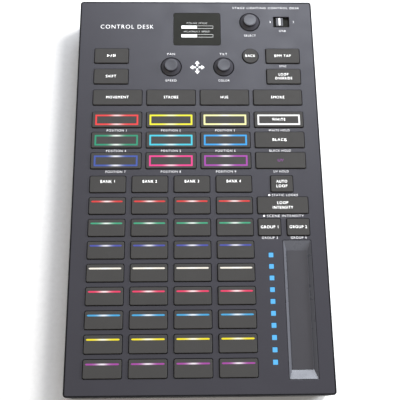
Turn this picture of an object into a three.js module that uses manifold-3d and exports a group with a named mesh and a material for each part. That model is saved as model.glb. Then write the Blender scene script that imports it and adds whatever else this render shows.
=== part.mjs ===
// A lighting control desk: a flat black case with an inset metal top panel that carries spring-return
// keys, three rotary knobs, a display, a slide switch, a recessed touch strip and its level meter.
// Millimetres, +Z up, +Y towards the rear wall with the sockets, origin at the middle of the footprint
// on the surface that the desk stands on.

import * as THREE from "three";
import { mergeVertices } from "three/addons/utils/BufferGeometryUtils.js";
import Module from "manifold-3d";

const wasm = await Module();
wasm.setup();

// ---- Driving dimensions ------------------------------------------------------------------------

// Outer case
const CASE_WIDTH = 195;
const CASE_LENGTH = 322;
const CASE_CORNER = 2.5;
const FOOT_HEIGHT = 2.5;
const FOOT_LENGTH = 150;
const FOOT_Y = 137;
const PANEL_TOP = 36;
const WALL = 2.4;
const RIM = 0.9;
const CASE_FLOOR = 2.2;

// Clearances: between parts that lie against each other, and round the panel in its rim
const SEAT_GAP = 0.1;
const PANEL_GAP = 0.15;

// Top panel
const PANEL_THICKNESS = 2;
const PANEL_CORNER = CASE_CORNER - RIM - PANEL_GAP;
const PANEL_UNDERSIDE = PANEL_TOP - PANEL_THICKNESS;

// Keys: the openings in the panel, and how the caps sit in them
const FIELD_LEFT = 13.1;
const FIELD_RIGHT = 182.7;
const KEY_DEPTH = 14.1;
const KEY_CORNER = 1.3;
const KEY_GAP = 0.4;
const KEY_RISE = 1;
const KEY_TRAVEL = 0.8;
const KEY_FLANGE = 0.8;
const FLANGE_THICKNESS = 1.2;
const FLANGE_TOP = PANEL_UNDERSIDE - SEAT_GAP;
const FLANGE_BOTTOM = FLANGE_TOP - FLANGE_THICKNESS;
const ROW_PITCH = 17.43;

// Rows, as distances of their middles from the rear edge of the desk
const PLAY_ROW = 51.6;
const SHIFT_ROW = 70.4;
const EFFECT_ROW = 89.2;
const POSITION_ROW = 108.8;
const PAD_ROW = 180.6;
const BANK_ROW = PAD_ROW - ROW_PITCH;
const PAD_ROWS = 8;

// Columns: four wide ones fill the key field, and four pad columns fill the first three of them
const FIELD_WIDTH = FIELD_RIGHT - FIELD_LEFT;
const WIDE_KEY = 40;
const WIDE_PITCH = (FIELD_WIDTH - WIDE_KEY) / 3;
const PAD_SPACE = 4.2;
const PAD_KEY = (2 * WIDE_PITCH + WIDE_KEY - 3 * PAD_SPACE) / 4;
const PAD_PITCH = PAD_KEY + PAD_SPACE;
const SMALL_KEY = 18;

// Circuit board, with the silicone dome sheet on it
const BOARD_TOP = 26.5;
const BOARD_THICKNESS = 1.6;
const BOARD_EDGE = 5.5;
const SHEET_BOTTOM = BOARD_TOP + SEAT_GAP;
const SHEET_TOP = SHEET_BOTTOM + 1;
const DOME_TOP = SHEET_TOP + 2;
const DOME_BASE = 7;
const POST_BOTTOM = DOME_TOP + KEY_TRAVEL + 0.2;

// Rotary encoders and their knobs
const KNOB_ROW = 61.4;
const SELECT_KNOB = { x: 142.2, y: 19.5 };
const KNOB_OPENING_RADIUS = 8.6;
const KNOB_SKIRT_RADIUS = 8;
const KNOB_CAP_RADIUS = 5.4;
const KNOB_BOTTOM = PANEL_TOP - 0.6;
const KNOB_SKIRT_EDGE = PANEL_TOP + 0.4;
const KNOB_CAP_FOOT = PANEL_TOP + 1.7;
const KNOB_TOP = PANEL_TOP + 3.8;
const KNOB_HOLLOW = PANEL_TOP + 2.5;
const SELECT_TRAVEL = 0.5;
const SHAFT_RADIUS = 3;
const SHAFT_SQUARE = 4.1;
const SHAFT_BOTTOM = BOARD_TOP + 1;
const SHAFT_CLEARANCE = 0.18;
const ENCODER_SIDE = 12.4;
const ENCODER_BODY_TOP = PANEL_UNDERSIDE - 0.6;
const ENCODER_CAVITY_RADIUS = 5.3;
const BUSHING_RADIUS = 3.9;
const BUSHING_TOP = PANEL_TOP + 1.6;
const ROTOR_RADIUS = 4.9;
const ROTOR_BOTTOM = BOARD_TOP + 1.9;
const ROTOR_TOP = ROTOR_BOTTOM + 3;

// Display
const DISPLAY = { x: 97.8, y: 26.1, width: 39.4, depth: 30.6, corner: 2 };
const WINDOW_THICKNESS = 1.5;

// Touch strip and the level meter beside it
const STRIP = { x: 172.2, y: 259.6, width: 21.8, length: 103 };
const STRIP_LIP = 0.3;
const STRIP_SIDE_SLOPE = 2.3;
const STRIP_END_SLOPE = 6.6;
const STRIP_FLOOR = PANEL_TOP - 3;
const STRIP_FLANGE = 1.2;
const SENSOR_THICKNESS = 0.4;
const METER = { x: 152.1, first: 219.6, pitch: 8.79, count: 10, width: 3.4, depth: 3.4 };

// Slide switch that picks the computer
const SWITCH = { x: 168.9, y: 19.2, width: 13.4, depth: 9.8 };
const SLIDER_WIDTH = 6;
const SLIDER_TRAVEL = 3;

// Round key beside the knobs
const BACK_KEY = { x: 141.7, y: PLAY_ROW, radius: 6.9 };

// Rear sockets, as distances from the left edge of the desk, and the height of their middles
const DMX_X = [25, 57];
const DMX_HEIGHT = 18.5;
const DMX_NOSE_RADIUS = 12;
const USB_X = [126, 148];
const USB_WIDTH = 12.2;
const USB_HEIGHT = 10.8;
const USB_DEPTH = 16;
const POWER_X = 172;
const POWER_SIDE = 9;
const POWER_HEIGHT = 11;
const LOCK_X = CASE_WIDTH / 2;
const CUTOUT_GAP = 0.3;

// ---- Colours -----------------------------------------------------------------------------------

const paint = (color, roughness, metalness = 0) =>
  new THREE.MeshStandardMaterial({ color, roughness, metalness });
const PANEL_PAINT = paint(0x5c5c66, 0.5);
const CASE_PLASTIC = paint(0x141416, 0.55);
const KEY_PLASTIC = paint(0x3a3a3b, 0.6);
const KNOB_RUBBER = paint(0x3c3c42, 0.55);
const BLACK_GLOSS = paint(0x2b2b28, 0.15);
const TOUCH_FILM = paint(0x3c3c3c, 0.4);
const METER_LENS = paint(0x46b4f5, 0.3);
const BOARD_LACQUER = paint(0x14442a, 0.4);
const SILICONE = paint(0x8d8f92, 0.7);
const METAL = paint(0xb8babd, 0.35, 0.9);
const FOOT_RUBBER = paint(0x0c0c0c, 0.85);

// ---- Geometry helpers --------------------------------------------------------------------------

// Places on the panel are given from the left edge and from the rear edge of the desk.
const fromLeft = (x) => x - CASE_WIDTH / 2;
const fromRear = (y) => CASE_LENGTH / 2 - y;

function solid(geometry) {
  const bare = geometry.index ? geometry.toNonIndexed() : geometry.clone();
  bare.deleteAttribute("normal");
  bare.deleteAttribute("uv");
  const merged = mergeVertices(bare, 1e-4);
  return new wasm.Manifold(
    new wasm.Mesh({
      numProp: 3,
      vertProperties: merged.attributes.position.array,
      triVerts: new Uint32Array(merged.index.array),
    }),
  );
}

function geometryOf(made) {
  const { vertProperties, triVerts, numProp, numVert } = made.getMesh();
  const positions = new Float32Array(numVert * 3);
  for (let i = 0; i < numVert; i++) {
    positions.set(vertProperties.subarray(i * numProp, i * numProp + 3), i * 3);
  }
  const geometry = new THREE.BufferGeometry();
  geometry.setAttribute("position", new THREE.BufferAttribute(positions, 3));
  geometry.setIndex(new THREE.BufferAttribute(triVerts, 1));
  return geometry;
}

const join = (first, ...others) => others.reduce((all, next) => all.add(next), first);
const cut = (first, ...others) => others.reduce((all, next) => all.subtract(next), first);

function box(x, y, width, depth, bottom, top) {
  const geometry = new THREE.BoxGeometry(width, depth, top - bottom);
  return solid(geometry.translate(x, y, (bottom + top) / 2));
}

// Closed outline of a rectangle with rounded corners, as a Shape or as a Path for a hole.
function roundedOutline(outline, x, y, width, depth, corner) {
  const right = x + width / 2 - corner;
  const left = x - width / 2 + corner;
  const back = y + depth / 2 - corner;
  const front = y - depth / 2 + corner;
  outline.absarc(right, back, corner, 0, Math.PI / 2);
  outline.absarc(left, back, corner, Math.PI / 2, Math.PI);
  outline.absarc(left, front, corner, Math.PI, 1.5 * Math.PI);
  outline.absarc(right, front, corner, 1.5 * Math.PI, 2 * Math.PI);
  outline.closePath();
  return outline;
}

function prism(shape, bottom, top, curveSegments) {
  const settings = { depth: top - bottom, bevelEnabled: false, curveSegments };
  return new THREE.ExtrudeGeometry(shape, settings).translate(0, 0, bottom);
}

function roundedPlate(x, y, width, depth, corner, bottom, top, curveSegments = 1) {
  const shape = roundedOutline(new THREE.Shape(), x, y, width, depth, corner);
  return solid(prism(shape, bottom, top, curveSegments));
}

// Upright cylinder, or a cone when the two radii differ.
function cylinder(x, y, radius, bottom, top, sides = 24, topRadius = radius) {
  const geometry = new THREE.CylinderGeometry(topRadius, radius, top - bottom, sides);
  return solid(geometry.rotateX(Math.PI / 2).translate(x, y, (bottom + top) / 2));
}

// Cylinder that lies along Y, from the rear wall inwards.
function lyingCylinder(x, z, radius, front, back, sides = 24) {
  const geometry = new THREE.CylinderGeometry(radius, radius, back - front, sides);
  return solid(geometry.translate(x, (front + back) / 2, z));
}

// Block whose top is smaller or larger than its bottom by the given amounts on each side.
function taperedBlock(x, y, width, depth, bottom, top, growX, growY) {
  const geometry = new THREE.BoxGeometry(width, depth, top - bottom);
  const corners = geometry.attributes.position;
  for (let i = 0; i < corners.count; i++) {
    if (corners.getZ(i) > 0) {
      corners.setX(i, corners.getX(i) + Math.sign(corners.getX(i)) * growX);
      corners.setY(i, corners.getY(i) + Math.sign(corners.getY(i)) * growY);
    }
  }
  return solid(geometry.translate(x, y, (bottom + top) / 2));
}

const desk = new THREE.Group();

function addPart(name, made, material) {
  const mesh = new THREE.Mesh(geometryOf(made), material);
  mesh.name = name;
  desk.add(mesh);
}

// ---- Layout of the keys ------------------------------------------------------------------------

const wideColumn = (i) => FIELD_LEFT + WIDE_KEY / 2 + i * WIDE_PITCH;
const padColumn = (i) => FIELD_LEFT + PAD_KEY / 2 + i * PAD_PITCH;
const padRow = (i) => PAD_ROW + i * ROW_PITCH;
const LEFT_PAD_COLUMN = padColumn(0);
const RIGHT_PAD_COLUMN = FIELD_RIGHT - PAD_KEY / 2;

const singleKeys = [
  { name: "play_button", x: LEFT_PAD_COLUMN, y: PLAY_ROW, width: PAD_KEY },
  { name: "shift_button", x: LEFT_PAD_COLUMN, y: SHIFT_ROW, width: PAD_KEY },
  { name: "tap_button", x: RIGHT_PAD_COLUMN, y: PLAY_ROW, width: PAD_KEY },
  { name: "override_button", x: RIGHT_PAD_COLUMN, y: SHIFT_ROW, width: PAD_KEY },
  { name: "loop_button", x: wideColumn(3), y: BANK_ROW, width: SMALL_KEY },
  { name: "intensity_button", x: wideColumn(3), y: padRow(0), width: WIDE_KEY },
];
["movement", "strobe", "hue", "smoke"].forEach((name, i) => {
  singleKeys.push({ name: `${name}_button`, x: wideColumn(i), y: EFFECT_ROW, width: WIDE_KEY });
});
for (let i = 0; i < 9; i++) {
  const y = POSITION_ROW + Math.floor(i / 3) * ROW_PITCH;
  singleKeys.push({ name: `position_${i + 1}_button`, x: wideColumn(i % 3), y, width: WIDE_KEY });
}
["white", "black", "uv"].forEach((name, i) => {
  const y = POSITION_ROW + i * ROW_PITCH;
  singleKeys.push({ name: `${name}_button`, x: wideColumn(3), y, width: WIDE_KEY });
});
for (let i = 0; i < 4; i++) {
  singleKeys.push({ name: `bank_${i + 1}_button`, x: padColumn(i), y: BANK_ROW, width: PAD_KEY });
}
for (let i = 0; i < 2; i++) {
  const x = wideColumn(3) + (i - 0.5) * (WIDE_KEY - SMALL_KEY);
  singleKeys.push({ name: `group_${i + 1}_button`, x, y: padRow(1), width: SMALL_KEY });
}

const padKeys = [];
for (let row = 0; row < PAD_ROWS; row++) {
  for (let column = 0; column < 4; column++) {
    padKeys.push({ row, x: padColumn(column), y: padRow(row), width: PAD_KEY });
  }
}
const allKeys = [...singleKeys, ...padKeys];
const knobs = [
  { name: "select", ...SELECT_KNOB },
  { name: "pan", x: wideColumn(1), y: KNOB_ROW },
  { name: "tilt", x: wideColumn(2), y: KNOB_ROW },
];

// ---- Top panel ---------------------------------------------------------------------------------

function topPanel() {
  const width = CASE_WIDTH - 2 * (RIM + PANEL_GAP);
  const length = CASE_LENGTH - 2 * (RIM + PANEL_GAP);
  const shape = roundedOutline(new THREE.Shape(), 0, 0, width, length, PANEL_CORNER);
  const opening = (x, y, openWidth, depth, corner) => {
    const path = new THREE.Path();
    shape.holes.push(roundedOutline(path, fromLeft(x), fromRear(y), openWidth, depth, corner));
  };
  for (const key of allKeys) opening(key.x, key.y, key.width, KEY_DEPTH, KEY_CORNER);
  opening(DISPLAY.x, DISPLAY.y, DISPLAY.width, DISPLAY.depth, DISPLAY.corner);
  opening(STRIP.x, STRIP.y, STRIP.width, STRIP.length, 0.3);
  opening(SWITCH.x, SWITCH.y, SWITCH.width, SWITCH.depth, 0.6);
  const plate = solid(prism(shape, PANEL_UNDERSIDE, PANEL_TOP, 1));

  const low = PANEL_UNDERSIDE - 1;
  const high = PANEL_TOP + 1;
  const back = cylinder(fromLeft(BACK_KEY.x), fromRear(BACK_KEY.y), BACK_KEY.radius, low, high, 24);
  const knobOpenings = knobs.map((knob) =>
    cylinder(fromLeft(knob.x), fromRear(knob.y), KNOB_OPENING_RADIUS, low, high, 32),
  );
  const windows = [];
  for (let i = 0; i < METER.count; i++) {
    const y = fromRear(METER.first + i * METER.pitch);
    windows.push(box(fromLeft(METER.x), y, METER.width + 0.2, METER.depth + 0.2, low, high));
  }
  return cut(plate, back, ...knobOpenings, ...windows);
}

// ---- Case --------------------------------------------------------------------------------------

function bottomCase() {
  const outer = (bottom, top, inset, corner) =>
    roundedPlate(0, 0, CASE_WIDTH - 2 * inset, CASE_LENGTH - 2 * inset, corner, bottom, top, 2);
  const floorTop = FOOT_HEIGHT + CASE_FLOOR;
  const ledge = PANEL_UNDERSIDE - SEAT_GAP;
  const shell = cut(
    outer(FOOT_HEIGHT, PANEL_TOP, 0, CASE_CORNER),
    outer(floorTop, PANEL_TOP + 1, WALL, CASE_CORNER - RIM),
    outer(ledge, PANEL_TOP + 1, RIM, CASE_CORNER - RIM),
  );

  // Bosses that carry the circuit board, each over a counterbore for its screw head
  const bossTop = BOARD_TOP - BOARD_THICKNESS - SEAT_GAP;
  const bosses = [];
  const counterbores = [];
  for (const x of [-80, 80]) {
    for (const y of [-146, -50, 50, 116]) {
      bosses.push(cylinder(x, y, 4, floorTop - 0.5, bossTop, 8));
      counterbores.push(cylinder(x, y, 3, FOOT_HEIGHT - 1, FOOT_HEIGHT + 1.6, 10));
    }
  }

  // Cutouts in the rear wall
  const rear = CASE_LENGTH / 2;
  const through = (x, z, width, height) =>
    box(fromLeft(x), rear - WALL / 2, width, WALL + 2, z - height / 2, z + height / 2);
  const boardUnderside = BOARD_TOP - BOARD_THICKNESS;
  const cutouts = [through(LOCK_X, DMX_HEIGHT, 7, 3)];
  for (const x of DMX_X) {
    const radius = DMX_NOSE_RADIUS + CUTOUT_GAP;
    cutouts.push(lyingCylinder(fromLeft(x), DMX_HEIGHT, radius, rear - WALL - 1, rear + 1, 24));
  }
  for (const x of USB_X) {
    const z = boardUnderside - SEAT_GAP - USB_HEIGHT / 2;
    cutouts.push(through(x, z, USB_WIDTH + 2 * CUTOUT_GAP, USB_HEIGHT + 2 * CUTOUT_GAP));
  }
  const powerZ = boardUnderside - POWER_HEIGHT / 2;
  cutouts.push(through(POWER_X, powerZ, POWER_SIDE + 2 * CUTOUT_GAP, POWER_HEIGHT + 2 * CUTOUT_GAP));
  return cut(join(shell, ...bosses), ...counterbores, ...cutouts);
}

function footStrip(y) {
  return roundedPlate(0, y, FOOT_LENGTH, 10, 2.5, 0, FOOT_HEIGHT, 2);
}

// ---- Keys --------------------------------------------------------------------------------------

// One cap with the post that presses its dome
function keyCap({ x, y, width }) {
  const left = fromLeft(x);
  const rear = fromRear(y);
  const capWidth = width - 2 * KEY_GAP;
  const capDepth = KEY_DEPTH - 2 * KEY_GAP;
  const top = PANEL_TOP + KEY_RISE;
  const cap = roundedPlate(left, rear, capWidth, capDepth, KEY_CORNER - KEY_GAP, FLANGE_BOTTOM, top);
  return join(cap, box(left, rear, 6, 6, POST_BOTTOM, FLANGE_BOTTOM + 0.5));
}

function singleKey(key) {
  const width = key.width + 2 * KEY_FLANGE;
  const depth = KEY_DEPTH + 2 * KEY_FLANGE;
  const flange = box(fromLeft(key.x), fromRear(key.y), width, depth, FLANGE_BOTTOM, FLANGE_TOP);
  return join(keyCap(key), flange);
}

// Four pads moulded on one flange strip
function padRowStrip(row) {
  const caps = padKeys.filter((key) => key.row === row).map(keyCap);
  const x = fromLeft((padColumn(0) + padColumn(3)) / 2);
  const width = 3 * PAD_PITCH + PAD_KEY + 2 * KEY_FLANGE;
  const depth = KEY_DEPTH + 2 * KEY_FLANGE;
  const strip = box(x, fromRear(padRow(row)), width, depth, FLANGE_BOTTOM, FLANGE_TOP);
  return join(strip, ...caps);
}

function roundKey() {
  const x = fromLeft(BACK_KEY.x);
  const y = fromRear(BACK_KEY.y);
  const top = PANEL_TOP + KEY_RISE;
  const cap = cylinder(x, y, BACK_KEY.radius - KEY_GAP, FLANGE_BOTTOM, top, 24);
  const flange = cylinder(x, y, BACK_KEY.radius + KEY_FLANGE, FLANGE_BOTTOM, FLANGE_TOP, 12);
  return join(cap, flange, box(x, y, 6, 6, POST_BOTTOM, FLANGE_BOTTOM + 0.5));
}

// ---- Circuit board and dome sheet --------------------------------------------------------------

function circuitBoard() {
  const underside = BOARD_TOP - BOARD_THICKNESS;
  const width = CASE_WIDTH - 2 * BOARD_EDGE;
  const length = CASE_LENGTH - 2 * BOARD_EDGE;
  const plate = box(0, 0, width, length, underside, BOARD_TOP);

  // Room for the two sockets that stand taller than the board
  const notch = box(fromLeft(35), CASE_LENGTH / 2 - 15, 78, 30, underside - 1, BOARD_TOP + 1);

  // Soldered parts: processor, connector header, power socket and the slide switch's frame
  const processor = box(-20, -40, 14, 14, underside - 1.4, underside + 0.4);
  const header = box(30, 60, 22, 5, underside - 8.5, underside + 0.4);
  const rear = CASE_LENGTH / 2;
  const powerZ = underside - POWER_HEIGHT / 2;
  const powerY = rear - 7.2;
  const power = cut(
    box(fromLeft(POWER_X), powerY, POWER_SIDE, 14, powerZ - POWER_HEIGHT / 2, underside + 0.15),
    lyingCylinder(fromLeft(POWER_X), powerZ, 3.2, rear - 10, rear + 1, 16),
  );
  const pin = lyingCylinder(fromLeft(POWER_X), powerZ, 1, rear - 11, rear - 1.5, 8);
  const switchX = fromLeft(SWITCH.x);
  const switchY = fromRear(SWITCH.y);
  const switchFrame = cut(
    box(switchX, switchY, 19, 12, BOARD_TOP - 0.4, FLANGE_BOTTOM - 0.6),
    box(switchX, switchY, 9, 5.6, BOARD_TOP + 2, FLANGE_BOTTOM),
  );
  return join(cut(plate, notch), processor, header, power, pin, switchFrame);
}

function domeSheet() {
  const sheetEdge = 4;
  const left = FIELD_LEFT - sheetEdge;
  const right = FIELD_RIGHT + sheetEdge;
  const upperLeft = LEFT_PAD_COLUMN + PAD_KEY / 2 + 2;
  const upperRight = BACK_KEY.x - BACK_KEY.radius - 1;
  const rear = PLAY_ROW - KEY_DEPTH / 2 - 1;
  const middle = EFFECT_ROW - KEY_DEPTH / 2 - 1;
  const stripEdge = padRow(1) + KEY_DEPTH / 2 + 1;
  const front = padRow(PAD_ROWS - 1) + KEY_DEPTH / 2 + 1;
  const padEdge = padColumn(3) + PAD_KEY / 2 + 2;
  const corners = [
    [left, rear],
    [left, front],
    [padEdge, front],
    [padEdge, stripEdge],
    [right, stripEdge],
    [right, rear],
    [upperRight, rear],
    [upperRight, middle],
    [upperLeft, middle],
    [upperLeft, rear],
  ];
  const shape = new THREE.Shape(
    corners.map(([x, y]) => new THREE.Vector2(fromLeft(x), fromRear(y))),
  );
  const sheet = solid(prism(shape, SHEET_BOTTOM, SHEET_TOP, 1));
  const domes = [...allKeys, BACK_KEY].map((key) =>
    taperedBlock(
      fromLeft(key.x),
      fromRear(key.y),
      DOME_BASE,
      DOME_BASE,
      SHEET_BOTTOM + 0.5,
      DOME_TOP,
      -1,
      -1,
    ),
  );
  return join(sheet, ...domes);
}

// ---- Encoders and knobs ------------------------------------------------------------------------

// Square housing, open towards the board, with the round bushing that stands up inside the knob
function encoderBody({ x, y }) {
  const left = fromLeft(x);
  const rear = fromRear(y);
  const boardSide = BOARD_TOP + SEAT_GAP;
  const boreRadius = SHAFT_RADIUS + SHAFT_CLEARANCE;
  return cut(
    join(
      box(left, rear, ENCODER_SIDE, ENCODER_SIDE, boardSide, ENCODER_BODY_TOP),
      cylinder(left, rear, BUSHING_RADIUS, ENCODER_BODY_TOP - 0.5, BUSHING_TOP, 12),
    ),
    cylinder(left, rear, ENCODER_CAVITY_RADIUS, boardSide - 1, ENCODER_BODY_TOP - 1, 16),
    cylinder(left, rear, boreRadius, ENCODER_BODY_TOP - 2, BUSHING_TOP + 1, 16),
  );
}

// Knob turned from a profile of radius and height: hollow, a skirt that stands in the panel's round
// opening, a sloping shoulder, and a narrower cap with a flat top
function knobShell({ x, y }) {
  const profile = [
    [0, KNOB_HOLLOW],
    [BUSHING_RADIUS + 0.4, KNOB_HOLLOW],
    [KNOB_SKIRT_RADIUS - 1.4, KNOB_BOTTOM],
    [KNOB_SKIRT_RADIUS, KNOB_BOTTOM],
    [KNOB_SKIRT_RADIUS, KNOB_SKIRT_EDGE],
    [KNOB_CAP_RADIUS + 0.4, KNOB_CAP_FOOT],
    [KNOB_CAP_RADIUS, KNOB_TOP - 0.3],
    [KNOB_CAP_RADIUS - 0.3, KNOB_TOP],
    [0, KNOB_TOP],
  ].map(([radius, height]) => new THREE.Vector2(radius, height));
  const geometry = new THREE.LatheGeometry(profile, 24).rotateX(Math.PI / 2);
  return solid(geometry.translate(fromLeft(x), fromRear(y), 0));
}

// Shaft that the knob is pressed on, with a square foot that the rotor drives
function knobShaft({ x, y }) {
  const left = fromLeft(x);
  const rear = fromRear(y);
  const squareTop = ROTOR_TOP + SELECT_TRAVEL + 0.4;
  return join(
    cylinder(left, rear, SHAFT_RADIUS, squareTop - 0.2, KNOB_TOP - 0.7, 12),
    box(left, rear, SHAFT_SQUARE, SHAFT_SQUARE, SHAFT_BOTTOM, squareTop),
  );
}

const rotorDisc = ({ x, y }) =>
  cylinder(fromLeft(x), fromRear(y), ROTOR_RADIUS, ROTOR_BOTTOM, ROTOR_TOP, 16);

// The select knob also presses down, so its shaft slides through a separate rotor
function slidingRotor(knob) {
  const side = SHAFT_SQUARE + 0.3;
  const hole = box(fromLeft(knob.x), fromRear(knob.y), side, side, ROTOR_BOTTOM - 1, ROTOR_TOP + 1);
  return cut(rotorDisc(knob), hole);
}

// ---- Display, touch strip, level meter and slide switch ----------------------------------------

function displayWindow() {
  const { x, y, width, depth, corner } = DISPLAY;
  const top = PANEL_TOP - 0.05;
  const fit = 2 * SEAT_GAP;
  return roundedPlate(
    fromLeft(x),
    fromRear(y),
    width - fit,
    depth - fit,
    corner - SEAT_GAP,
    top - WINDOW_THICKNESS,
    top,
  );
}

function displayModule() {
  const x = fromLeft(DISPLAY.x);
  const y = fromRear(DISPLAY.y);
  const glassTop = PANEL_TOP - WINDOW_THICKNESS - 0.15;
  const frameTop = PANEL_UNDERSIDE - SEAT_GAP;
  const frameBottom = frameTop - 3.4;
  const legs = [];
  for (const side of [-1, 1]) {
    for (const end of [-1, 1]) {
      legs.push(box(x + side * 19, y + end * 15, 3, 3, BOARD_TOP + SEAT_GAP, frameBottom + 0.5));
    }
  }
  return join(
    box(x, y, DISPLAY.width + 3, DISPLAY.depth + 3, frameBottom, frameTop),
    box(x, y, DISPLAY.width - 3, DISPLAY.depth - 3, frameTop - 0.5, glassTop),
    ...legs,
  );
}

function stripTray() {
  const x = fromLeft(STRIP.x);
  const y = fromRear(STRIP.y);
  const { width, length } = STRIP;
  const noseGap = 2 * 0.15;
  const trayBottom = STRIP_FLOOR - 1.4;
  const floorWidth = width - noseGap - 2 * (STRIP_LIP + STRIP_SIDE_SLOPE);
  const floorLength = length - noseGap - 2 * (STRIP_LIP + STRIP_END_SLOPE);
  return cut(
    join(
      box(x, y, width - noseGap, length - noseGap, trayBottom, PANEL_TOP - 0.02),
      box(x, y, width + 2 * STRIP_FLANGE, length + 2 * STRIP_FLANGE, FLANGE_BOTTOM, FLANGE_TOP),
    ),
    taperedBlock(
      x,
      y,
      floorWidth,
      floorLength,
      STRIP_FLOOR,
      PANEL_TOP,
      STRIP_SIDE_SLOPE,
      STRIP_END_SLOPE,
    ),
  );
}

function stripSensor() {
  const width = STRIP.width - 2 * (STRIP_LIP + STRIP_SIDE_SLOPE) - 1;
  const length = STRIP.length - 2 * (STRIP_LIP + STRIP_END_SLOPE) - 1;
  const bottom = STRIP_FLOOR + SEAT_GAP;
  return box(fromLeft(STRIP.x), fromRear(STRIP.y), width, length, bottom, bottom + SENSOR_THICKNESS);
}

function meterLightGuide() {
  const x = fromLeft(METER.x);
  const middle = METER.first + ((METER.count - 1) * METER.pitch) / 2;
  const length = (METER.count - 1) * METER.pitch + 8;
  const bar = box(x, fromRear(middle), 5, length, FLANGE_TOP - 1.8, FLANGE_TOP);
  const prongs = [];
  for (let i = 0; i < METER.count; i++) {
    const y = fromRear(METER.first + i * METER.pitch);
    prongs.push(box(x, y, METER.width, METER.depth, FLANGE_TOP - 0.5, PANEL_TOP - 0.05));
  }
  return join(bar, ...prongs);
}

function usbSlider() {
  const x = fromLeft(SWITCH.x) - SLIDER_TRAVEL / 2;
  const y = fromRear(SWITCH.y);
  const coverTop = FLANGE_TOP - 0.2;
  return join(
    box(x, y, SWITCH.width + SLIDER_TRAVEL + 0.8, SWITCH.depth + 1.6, coverTop - 1, coverTop),
    box(x, y, SLIDER_WIDTH, SWITCH.depth - 2, coverTop - 0.5, PANEL_TOP + 0.2),
    box(x, y, 1.4, SWITCH.depth - 3, PANEL_TOP - 0.2, PANEL_TOP + 0.7),
    box(x, y, 3, 4, BOARD_TOP + 2.8, coverTop - 0.5),
  );
}

// ---- Rear sockets ------------------------------------------------------------------------------

// Round three-pole socket: a nose in the wall, with the groove that the plug's shell slides into
function dmxSocket(x) {
  const left = fromLeft(x);
  const face = CASE_LENGTH / 2 - 0.2;
  const blockBack = CASE_LENGTH / 2 - WALL - 0.3;
  const groove = cut(
    lyingCylinder(left, DMX_HEIGHT, 9.6, face - 12, face + 1, 20),
    lyingCylinder(left, DMX_HEIGHT, 7.9, face - 13, face + 2, 20),
  );
  const poles = [];
  for (const [dx, dz] of [
    [-3.6, 1.4],
    [3.6, 1.4],
    [0, -3.6],
  ]) {
    poles.push(lyingCylinder(left + dx, DMX_HEIGHT + dz, 1.35, face - 9, face + 1, 8));
  }
  const block = box(left, blockBack - 9, 27, 18, DMX_HEIGHT - 13, DMX_HEIGHT + 13);
  const nose = lyingCylinder(left, DMX_HEIGHT, DMX_NOSE_RADIUS, blockBack - 1, face, 24);
  return cut(join(block, nose), groove, ...poles);
}

// Square socket soldered under the board, with the tongue in the middle of its mouth
function usbSocket(x) {
  const left = fromLeft(x);
  const top = BOARD_TOP - BOARD_THICKNESS - SEAT_GAP;
  const z = top - USB_HEIGHT / 2;
  const face = CASE_LENGTH / 2 - 0.2;
  const mouth = box(left, face - 4, 8.5, 10, z - 3.9, z + 3.9);
  const tongue = box(left, face - 5.5, 5.6, 9, z - 1.6, z + 1.6);
  const body = box(left, face - USB_DEPTH / 2, USB_WIDTH, USB_DEPTH, top - USB_HEIGHT, top);
  return join(cut(body, mouth), tongue);
}

// ---- Assembly ----------------------------------------------------------------------------------

addPart("top_panel", topPanel(), PANEL_PAINT);
addPart("bottom_case", bottomCase(), CASE_PLASTIC);
addPart("front_foot_strip", footStrip(-FOOT_Y), FOOT_RUBBER);
addPart("rear_foot_strip", footStrip(FOOT_Y), FOOT_RUBBER);
addPart("circuit_board", circuitBoard(), BOARD_LACQUER);
addPart("dome_sheet", domeSheet(), SILICONE);
addPart("display_window", displayWindow(), BLACK_GLOSS);
addPart("display_module", displayModule(), METAL);
addPart("touch_strip_tray", stripTray(), KEY_PLASTIC);
addPart("touch_strip_sensor", stripSensor(), TOUCH_FILM);
addPart("meter_light_guide", meterLightGuide(), METER_LENS);
addPart("usb_slider", usbSlider(), CASE_PLASTIC);
DMX_X.forEach((x, i) => addPart(`dmx_socket_${i + 1}`, dmxSocket(x), METAL));
USB_X.forEach((x, i) => addPart(`usb_socket_${i + 1}`, usbSocket(x), METAL));

for (const knob of knobs) {
  addPart(`${knob.name}_encoder_body`, encoderBody(knob), METAL);
  if (knob.name === "select") {
    addPart("select_rotor", slidingRotor(knob), SILICONE);
    addPart("select_knob", join(knobShell(knob), knobShaft(knob)), KNOB_RUBBER);
  } else {
    const turning = join(knobShell(knob), knobShaft(knob), rotorDisc(knob));
    addPart(`${knob.name}_knob`, turning, KNOB_RUBBER);
  }
}

addPart("back_button", roundKey(), KEY_PLASTIC);
for (const key of singleKeys) addPart(key.name, singleKey(key), KEY_PLASTIC);
for (let row = 0; row < PAD_ROWS; row++) {
  addPart(`pad_row_${row + 1}`, padRowStrip(row), KEY_PLASTIC);
}

export default desk;
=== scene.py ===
import math

import bmesh
import bpy
from mathutils import Matrix, Vector, geometry


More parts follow.
